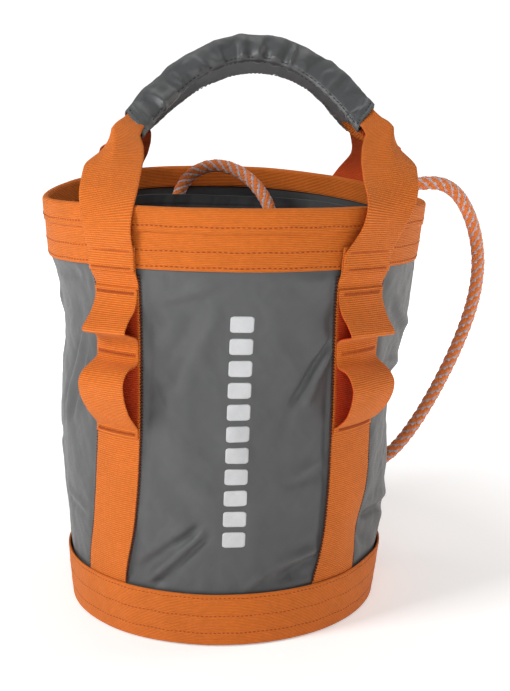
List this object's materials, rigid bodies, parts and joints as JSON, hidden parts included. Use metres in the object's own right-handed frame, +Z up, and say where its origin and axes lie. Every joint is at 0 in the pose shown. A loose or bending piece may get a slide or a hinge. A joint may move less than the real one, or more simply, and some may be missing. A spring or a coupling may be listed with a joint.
{
  "type": "tool bucket organizer",
  "caption": "Round soft tool bucket with webbing bands, looped straps, two swinging padded handles and a stored rope.",
  "frame": {"origin": "centre of the underside of the base, on the floor", "axes": "+Z up through the mouth, -Y out of the front, +X to the right seen from the front"},
  "size_m": [0.4173, 0.344, 0.5151],
  "materials": {
    "orange_webbing": "ribbed polyester webbing",
    "wall_fabric": "PVC coated fabric, satin",
    "grip_fabric": "coated grip fabric, wrinkled",
    "lining_fabric": "dark coated lining",
    "orange_thread": "sewing thread",
    "grey_thread": "sewing thread",
    "rope": "braided rope, orange with pale flecks",
    "stiffener_board": "polyethylene board",
    "welt_cord": "corded edge",
    "silver_film": "plain silver film",
    "eyelet_metal": "nickel-plated eyelet"
  },
  "bodies": {
    "bucket": {"wall_panel": "wall_fabric", "top_band": "orange_webbing", "bottom_band": "orange_webbing", "rim_binding": "orange_webbing", "base_panel": "wall_fabric", "base_stiffener": "stiffener_board", "base_lining": "lining_fabric", "base_welt": "welt_cord", "back_pocket_panel": "lining_fabric", "top_band_stitching": "orange_thread", "bottom_band_stitching": "orange_thread", "binding_stitching": "orange_thread", "loop_bartacks": "orange_thread", "strap_head_bartacks": "orange_thread", "front_reflective_strip": "silver_film", "rope_stored_length": "rope", "rope_stopper_knot": "rope", "rope_eyelet": "eyelet_metal", "rope_eyelet_washer": "eyelet_metal", "front_left_strap": "orange_webbing", "front_left_tool_loops": "orange_webbing", "front_right_strap": "orange_webbing", "front_right_tool_loops": "orange_webbing", "back_left_strap": "orange_webbing", "back_left_tool_loops": "orange_webbing", "back_right_strap": "orange_webbing", "back_right_tool_loops": "orange_webbing"},
    "front_handle": {"front_handle_strap": "orange_webbing", "front_grip_sleeve": "grip_fabric", "front_grip_seam": "grey_thread"},
    "back_handle": {"back_handle_strap": "orange_webbing", "back_grip_sleeve": "grip_fabric", "back_grip_seam": "grey_thread"},
    "rope_bow": {"rope_outer_bow": "rope"}
  },
  "joints": [
    {"name": "front_handle_fold", "type": "hinge", "parent": "bucket", "child": "front_handle", "pos_m": [0, -0.148, 0.354], "axis": [1, 0, 0], "range_deg": [0, 155]},
    {"name": "back_handle_fold", "type": "hinge", "parent": "bucket", "child": "back_handle", "pos_m": [0, 0.148, 0.354], "axis": [-1, 0, 0], "range_deg": [0, 155]},
    {"name": "rope_bow_swing", "type": "hinge", "parent": "bucket", "child": "rope_bow", "pos_m": [0.12985, 0.07497, 0.0847], "axis": [0.1321, -0.0945, 0.9867], "range_deg": [-25, 25]}
  ]
}
